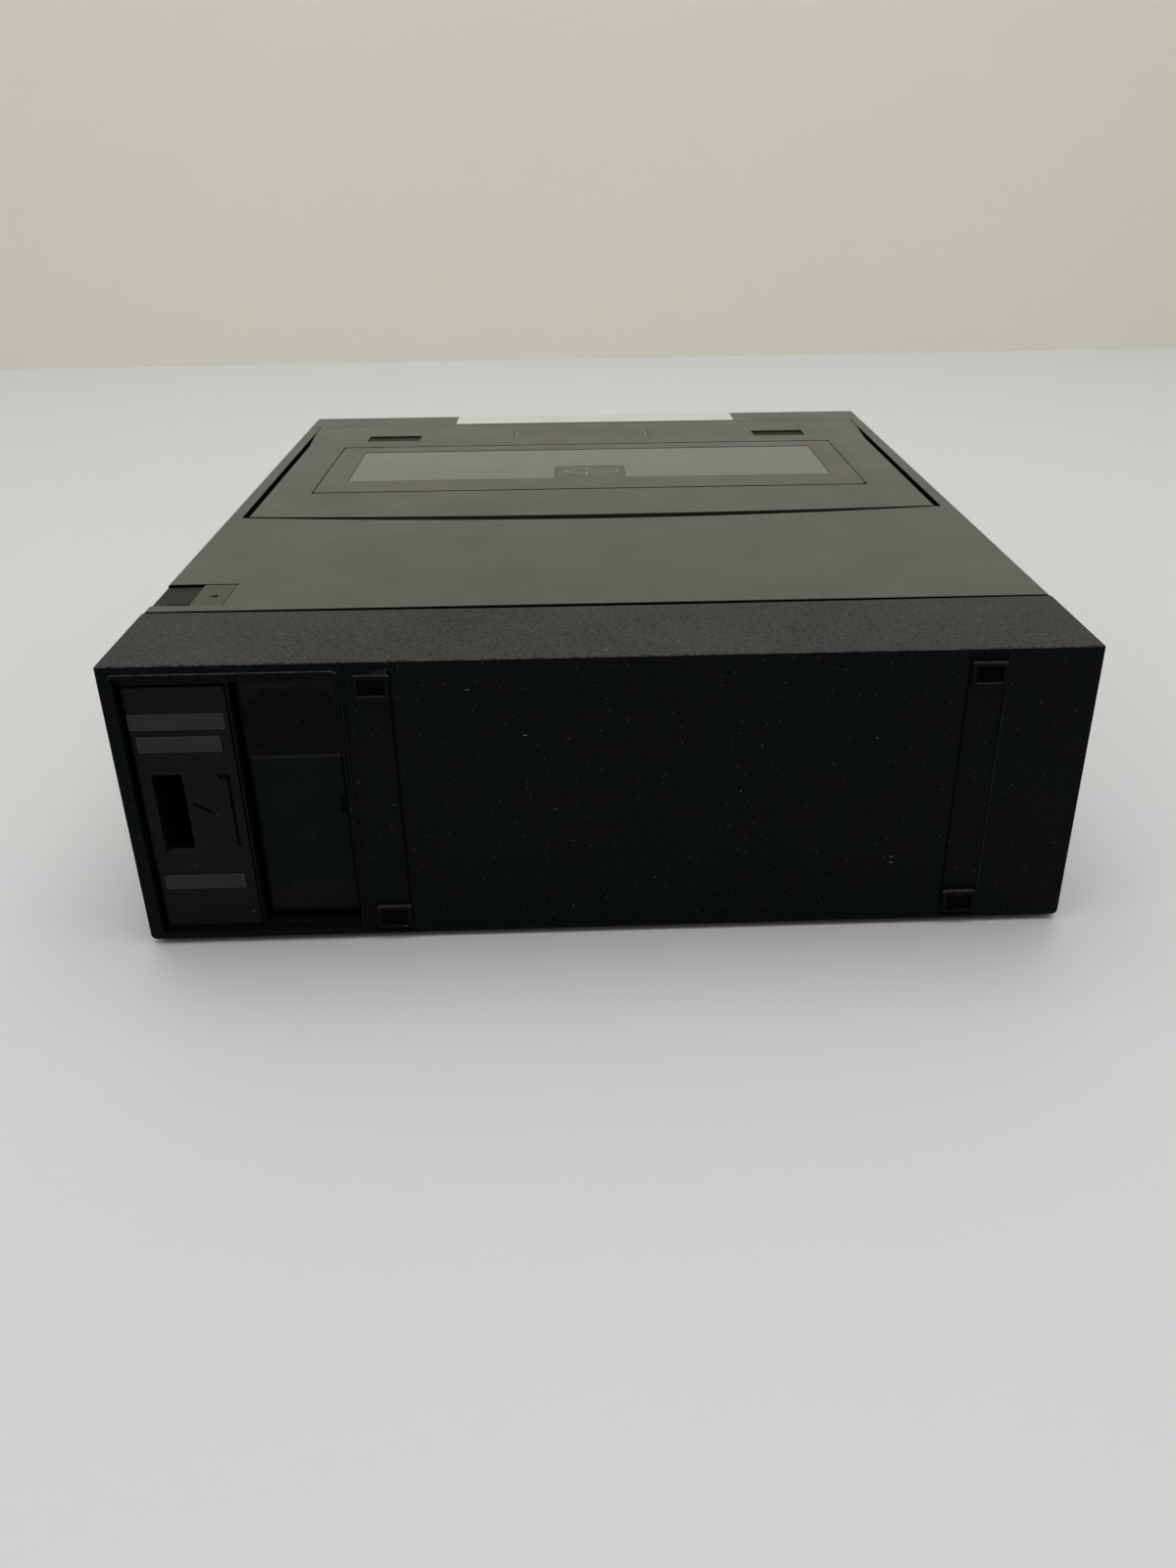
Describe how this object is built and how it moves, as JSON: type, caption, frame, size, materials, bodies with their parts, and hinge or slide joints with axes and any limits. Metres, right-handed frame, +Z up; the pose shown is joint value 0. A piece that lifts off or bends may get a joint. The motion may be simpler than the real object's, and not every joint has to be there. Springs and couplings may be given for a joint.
{
  "type": "portable video cassette recorder",
  "caption": "Compact battery-powered top-loading video cassette recorder with hinged windowed lid, tape deck, rear connector door, battery bay and front keys.",
  "frame": {"origin": "middle of the bounding rectangle on the resting plane", "axes": "+Z up, +Y from the connector (rear) face to the key (front) face, +X to the right for someone who looks at the connector face"},
  "size_m": [0.24, 0.2928, 0.0786],
  "materials": {
    "case_plastic": "fine moulded texture, near black",
    "cover_plastic": "smooth satin dark warm grey",
    "cap_plastic": "grained dark grey",
    "door_plastic": "matt near black",
    "socket_plastic": "black moulded connector body",
    "key_plastic": "satin dark grey",
    "reel_plastic": "black acetal",
    "gear_plastic": "natural white acetal",
    "battery_wrap": "glossy film wrap, bluish black",
    "window_border": "gloss acrylic painted behind",
    "window_clear": "smoked clear acrylic",
    "badge": "bare plate",
    "display_smoke": "smoked acrylic",
    "label_white": "blank white sticker",
    "rubber": "matt black rubber",
    "screw_steel": "blackened steel",
    "sheet_steel": "zinc plated sheet",
    "polished_steel": "ground steel",
    "tin_plate": "tinned sheet",
    "drum_aluminium": "fine turned aluminium",
    "contact_brass": "plated brass",
    "circuit_board": "green lacquered board"
  },
  "bodies": {
    "chassis": {"bottom_case": "case_plastic", "top_cover": "cover_plastic", "rear_cap": "cap_plastic", "front_panel": "cover_plastic", "rubber_feet": "rubber", "case_screws": "screw_steel", "jack_panel": "case_plastic", "adaptor_socket": "socket_plastic", "rf_modulator": "tin_plate", "battery_tray": "case_plastic", "battery_contacts": "contact_brass", "deck_plate": "sheet_steel", "deck_screws": "screw_steel", "lower_drum": "drum_aluminium", "capstan_motor": "tin_plate", "reel_belt": "rubber", "erase_head": "polished_steel", "control_head": "polished_steel", "loading_motor": "tin_plate", "main_board": "circuit_board", "power_board": "circuit_board", "heat_sink": "drum_aluminium", "front_board": "circuit_board", "display_window": "display_smoke", "camera_socket": "socket_plastic", "av_jacks": "contact_brass", "blank_label": "label_white"},
    "battery": {"battery_pack": "battery_wrap"},
    "door": {"connector_door": "door_plastic"},
    "slider": {"battery_slider": "cover_plastic"},
    "lid": {"cassette_lid": "cover_plastic", "window_bezel": "window_border", "window_pane": "window_clear", "lid_badge": "badge", "lid_pins": "screw_steel", "cassette_basket": "sheet_steel"},
    "latch": {"lid_latch": "sheet_steel"},
    "drum": {"upper_drum": "drum_aluminium"},
    "capstan": {"capstan_flywheel": "polished_steel"},
    "supply": {"supply_reel": "reel_plastic"},
    "takeup": {"takeup_reel": "reel_plastic"},
    "centre": {"centre_pulley": "reel_plastic"},
    "idler": {"idler_arm": "sheet_steel"},
    "idler_tyre": {"idler_wheel": "rubber"},
    "pinch": {"pinch_arm": "sheet_steel"},
    "roller": {"pinch_roller": "rubber"},
    "guide_supply": {"supply_guide": "polished_steel"},
    "guide_takeup": {"takeup_guide": "polished_steel"},
    "cam": {"cam_gear": "gear_plastic"},
    "pinion": {"motor_pinion": "contact_brass"},
    "switch": {"power_switch": "key_plastic"},
    "knob": {"tracking_knob": "key_plastic"},
    "eject": {"eject_key": "key_plastic"},
    "rewind": {"rewind_key": "key_plastic"},
    "stop": {"stop_key": "key_plastic"},
    "play": {"play_key": "key_plastic"},
    "forward": {"forward_key": "key_plastic"},
    "record": {"record_key": "key_plastic"},
    "pause": {"pause_key": "key_plastic"}
  },
  "joints": [
    {"name": "lid_hinge", "type": "hinge", "parent": "chassis", "child": "lid", "pos_m": [0, -0.0135, 0.0762], "axis": [1, 0, 0], "range_deg": [0, 28]},
    {"name": "battery_slide", "type": "slide", "parent": "chassis", "child": "battery", "axis": [0, -1, 0], "range_m": [0, 0.1044]},
    {"name": "door_hinge", "type": "hinge", "parent": "chassis", "child": "door", "pos_m": [-0.11475, -0.14305, 0.0365], "axis": [0, 0, -1], "range_deg": [0, 90]},
    {"name": "slider_slide", "type": "slide", "parent": "chassis", "child": "slider", "axis": [-1, 0, 0], "range_m": [0, 0.0078], "stiffness_N_per_m": 150},
    {"name": "latch_swing", "type": "hinge", "parent": "chassis", "child": "latch", "pos_m": [0.0995, 0.1225, 0.0501], "axis": [1, 0, 0], "range_deg": [0, 16], "stiffness_Nm_per_rad": 0.02},
    {"name": "drum_spin", "type": "hinge", "parent": "chassis", "child": "drum", "pos_m": [0, -0.023, 0.0441], "axis": [0, 0, 1], "continuous": true},
    {"name": "capstan_spin", "type": "hinge", "parent": "chassis", "child": "capstan", "pos_m": [0.058, 0.02, 0.0441], "axis": [0, 0, 1], "continuous": true},
    {"name": "centre_spin", "type": "hinge", "parent": "chassis", "child": "centre", "pos_m": [0, 0.057, 0.0441], "axis": [0, 0, 1], "continuous": true},
    {"name": "idler_swing", "type": "hinge", "parent": "chassis", "child": "idler", "pos_m": [0, 0.057, 0.0441], "axis": [0, 0, 1], "range_deg": [-55, 55]},
    {"name": "idler_spin", "type": "hinge", "parent": "idler", "child": "idler_tyre", "pos_m": [0, 0.0743, 0.0441], "axis": [0, 0, 1], "continuous": true},
    {"name": "supply_spin", "type": "hinge", "parent": "chassis", "child": "supply", "pos_m": [-0.046, 0.073, 0.0441], "axis": [0, 0, 1], "continuous": true},
    {"name": "takeup_spin", "type": "hinge", "parent": "chassis", "child": "takeup", "pos_m": [0.046, 0.073, 0.0441], "axis": [0, 0, 1], "continuous": true},
    {"name": "pinch_swing", "type": "hinge", "parent": "chassis", "child": "pinch", "pos_m": [0.08397, 0.00003, 0.0441], "axis": [0, 0, -1], "range_deg": [0, 30]},
    {"name": "roller_spin", "type": "hinge", "parent": "pinch", "child": "roller", "pos_m": [0.05807, -0.00224, 0.0441], "axis": [0, 0, 1], "continuous": true},
    {"name": "supply_load", "type": "slide", "parent": "chassis", "child": "guide_supply", "axis": [-0.2216, -0.9751, 0], "range_m": [0, 0.04512]},
    {"name": "takeup_load", "type": "slide", "parent": "chassis", "child": "guide_takeup", "axis": [0.2216, -0.9751, 0], "range_m": [0, 0.04512]},
    {"name": "cam_spin", "type": "hinge", "parent": "chassis", "child": "cam", "pos_m": [-0.084, 0.03, 0.0429], "axis": [0, 0, 1], "continuous": true},
    {"name": "pinion_spin", "type": "hinge", "parent": "chassis", "child": "pinion", "pos_m": [-0.084, 0.054, 0.0429], "axis": [0, 0, 1], "continuous": true},
    {"name": "eject_press", "type": "slide", "parent": "chassis", "child": "eject", "axis": [0, -1, 0], "range_m": [0, 0.0015], "stiffness_N_per_m": 250},
    {"name": "rewind_press", "type": "slide", "parent": "chassis", "child": "rewind", "axis": [0, -1, 0], "range_m": [0, 0.0015], "stiffness_N_per_m": 250},
    {"name": "stop_press", "type": "slide", "parent": "chassis", "child": "stop", "axis": [0, -1, 0], "range_m": [0, 0.0015], "stiffness_N_per_m": 250},
    {"name": "play_press", "type": "slide", "parent": "chassis", "child": "play", "axis": [0, -1, 0], "range_m": [0, 0.0015], "stiffness_N_per_m": 250},
    {"name": "forward_press", "type": "slide", "parent": "chassis", "child": "forward", "axis": [0, -1, 0], "range_m": [0, 0.0015], "stiffness_N_per_m": 250},
    {"name": "record_press", "type": "slide", "parent": "chassis", "child": "record", "axis": [0, -1, 0], "range_m": [0, 0.0015], "stiffness_N_per_m": 250},
    {"name": "pause_press", "type": "slide", "parent": "chassis", "child": "pause", "axis": [0, -1, 0], "range_m": [0, 0.0015], "stiffness_N_per_m": 250},
    {"name": "power_slide", "type": "slide", "parent": "chassis", "child": "switch", "axis": [1, 0, 0], "range_m": [0, 0.006]},
    {"name": "knob_turn", "type": "hinge", "parent": "chassis", "child": "knob", "pos_m": [-0.105, 0.1456, 0.0535], "axis": [0, 1, 0], "range_deg": [-140, 140]}
  ],
  "couplings": [
    {"joint": "centre_spin", "follows": "capstan_spin", "ratio": 0.5},
    {"joint": "idler_spin", "follows": "capstan_spin", "ratio": -0.35},
    {"joint": "takeup_load", "follows": "supply_load", "ratio": 1},
    {"joint": "pinion_spin", "follows": "cam_spin", "ratio": -4}
  ]
}
